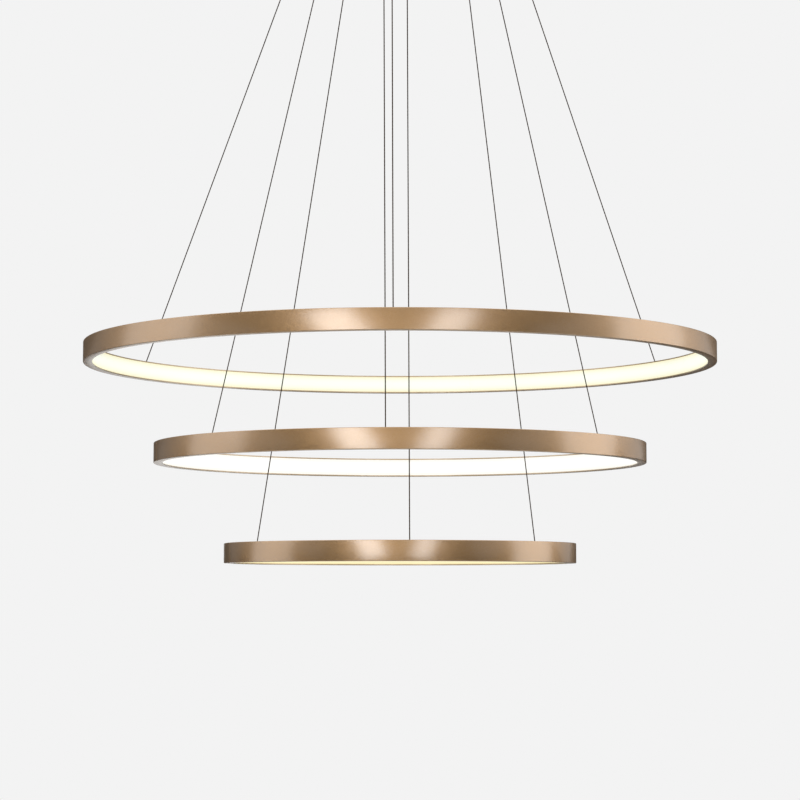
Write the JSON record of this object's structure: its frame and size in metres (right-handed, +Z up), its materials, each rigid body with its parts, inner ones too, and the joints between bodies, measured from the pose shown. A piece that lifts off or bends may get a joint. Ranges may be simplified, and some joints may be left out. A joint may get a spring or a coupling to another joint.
{
  "type": "ring chandelier",
  "caption": "Level light rings of falling size, one below the other, each on thin wires that slant up through spring grippers in a round ceiling canopy.",
  "frame": {"origin": "centre of the ceiling bracket's top face, which lies on the ceiling", "axes": "+Z up; +X to the lamp's right and -Y to its front, as in the picture; the ceiling screws lie along X"},
  "size_m": [0.9, 0.8999, 1.104],
  "materials": {
    "ring_lacquer": "satin champagne-gold metallic lacquer with fine sparkle",
    "canopy_lacquer": "satin champagne-gold metallic lacquer with fine sparkle",
    "opal_large": "opal diffuser, lit warm white",
    "opal_medium": "opal diffuser, lit neutral white",
    "opal_small": "opal diffuser, lit warm pale yellow",
    "light_strip": "flexible circuit with a continuous phosphor line",
    "coated_wire": "stranded steel wire in a clear brown-grey coat",
    "gripper_brass": "satin, turned",
    "nickel": "nickel plated",
    "zinc_steel": "zinc plated",
    "spring_steel": "drawn",
    "driver_case": "fine spark-eroded grain",
    "block_plastic": "satin",
    "lead_insulation": "smooth silicone"
  },
  "bodies": {
    "canopy": {"gripper_barrels": "gripper_brass", "gripper_studs": "zinc_steel", "gripper_nuts": "zinc_steel", "canopy_cover": "canopy_lacquer", "ceiling_bracket": "zinc_steel", "cover_screws": "gripper_brass", "earth_screw": "zinc_steel", "led_drivers": "driver_case", "terminal_block": "block_plastic", "small_nuts": "zinc_steel", "driver_leads": "lead_insulation", "large_wire_right": "coated_wire", "large_spring_right": "spring_steel", "large_wire_left": "coated_wire", "large_spring_left": "spring_steel", "large_wire_front": "coated_wire", "large_spring_front": "spring_steel", "medium_wire_right": "coated_wire", "medium_spring_right": "spring_steel", "medium_wire_left": "coated_wire", "medium_spring_left": "spring_steel", "medium_wire_front": "coated_wire", "medium_spring_front": "spring_steel", "small_wire_right": "coated_wire", "small_spring_right": "spring_steel", "small_wire_left": "coated_wire", "small_spring_left": "spring_steel", "small_wire_front": "coated_wire", "small_spring_front": "spring_steel"},
    "large_ring": {"large_ring_channel": "ring_lacquer", "large_led_strip": "light_strip", "large_diffuser": "opal_large", "large_joint_keys": "zinc_steel", "large_joint_screws": "zinc_steel", "large_wire_stops": "nickel", "large_strip_leads": "lead_insulation"},
    "medium_ring": {"medium_ring_channel": "ring_lacquer", "medium_led_strip": "light_strip", "medium_diffuser": "opal_medium", "medium_joint_keys": "zinc_steel", "medium_joint_screws": "zinc_steel", "medium_wire_stops": "nickel", "medium_strip_leads": "lead_insulation"},
    "small_ring": {"small_ring_channel": "ring_lacquer", "small_led_strip": "light_strip", "small_diffuser": "opal_small", "small_joint_keys": "zinc_steel", "small_joint_screws": "zinc_steel", "small_wire_stops": "nickel", "small_strip_leads": "lead_insulation"},
    "large_release_right": {"large_collet_right": "gripper_brass"},
    "large_release_left": {"large_collet_left": "gripper_brass"},
    "large_release_front": {"large_collet_front": "gripper_brass"},
    "medium_release_right": {"medium_collet_right": "gripper_brass"},
    "medium_release_left": {"medium_collet_left": "gripper_brass"},
    "medium_release_front": {"medium_collet_front": "gripper_brass"},
    "small_release_right": {"small_collet_right": "gripper_brass"},
    "small_release_left": {"small_collet_left": "gripper_brass"},
    "small_release_front": {"small_collet_front": "gripper_brass"}
  },
  "joints": [
    {"name": "large_ring_height", "type": "slide", "parent": "canopy", "child": "large_ring", "axis": [0, 0, 1], "range_m": [0, 0.3], "deforming": ["large_wire_right", "large_wire_left", "large_wire_front"]},
    {"name": "medium_ring_height", "type": "slide", "parent": "canopy", "child": "medium_ring", "axis": [0, 0, 1], "range_m": [0, 0.3], "deforming": ["medium_wire_right", "medium_wire_left", "medium_wire_front"]},
    {"name": "small_ring_height", "type": "slide", "parent": "canopy", "child": "small_ring", "axis": [0, 0, 1], "range_m": [0, 0.3], "deforming": ["small_wire_right", "small_wire_left", "small_wire_front"]},
    {"name": "large_release_right_press", "type": "slide", "parent": "canopy", "child": "large_release_right", "axis": [0, 0, 1], "range_m": [0, 0.002], "stiffness_N_per_m": 400, "springref_m": -0.002, "deforming": ["large_spring_right"]},
    {"name": "large_release_left_press", "type": "slide", "parent": "canopy", "child": "large_release_left", "axis": [0, 0, 1], "range_m": [0, 0.002], "stiffness_N_per_m": 400, "springref_m": -0.002, "deforming": ["large_spring_left"]},
    {"name": "large_release_front_press", "type": "slide", "parent": "canopy", "child": "large_release_front", "axis": [0, 0, 1], "range_m": [0, 0.002], "stiffness_N_per_m": 400, "springref_m": -0.002, "deforming": ["large_spring_front"]},
    {"name": "medium_release_right_press", "type": "slide", "parent": "canopy", "child": "medium_release_right", "axis": [0, 0, 1], "range_m": [0, 0.002], "stiffness_N_per_m": 400, "springref_m": -0.002, "deforming": ["medium_spring_right"]},
    {"name": "medium_release_left_press", "type": "slide", "parent": "canopy", "child": "medium_release_left", "axis": [0, 0, 1], "range_m": [0, 0.002], "stiffness_N_per_m": 400, "springref_m": -0.002, "deforming": ["medium_spring_left"]},
    {"name": "medium_release_front_press", "type": "slide", "parent": "canopy", "child": "medium_release_front", "axis": [0, 0, 1], "range_m": [0, 0.002], "stiffness_N_per_m": 400, "springref_m": -0.002, "deforming": ["medium_spring_front"]},
    {"name": "small_release_right_press", "type": "slide", "parent": "canopy", "child": "small_release_right", "axis": [0, 0, 1], "range_m": [0, 0.002], "stiffness_N_per_m": 400, "springref_m": -0.002, "deforming": ["small_spring_right"]},
    {"name": "small_release_left_press", "type": "slide", "parent": "canopy", "child": "small_release_left", "axis": [0, 0, 1], "range_m": [0, 0.002], "stiffness_N_per_m": 400, "springref_m": -0.002, "deforming": ["small_spring_left"]},
    {"name": "small_release_front_press", "type": "slide", "parent": "canopy", "child": "small_release_front", "axis": [0, 0, 1], "range_m": [0, 0.002], "stiffness_N_per_m": 400, "springref_m": -0.002, "deforming": ["small_spring_front"]}
  ]
}
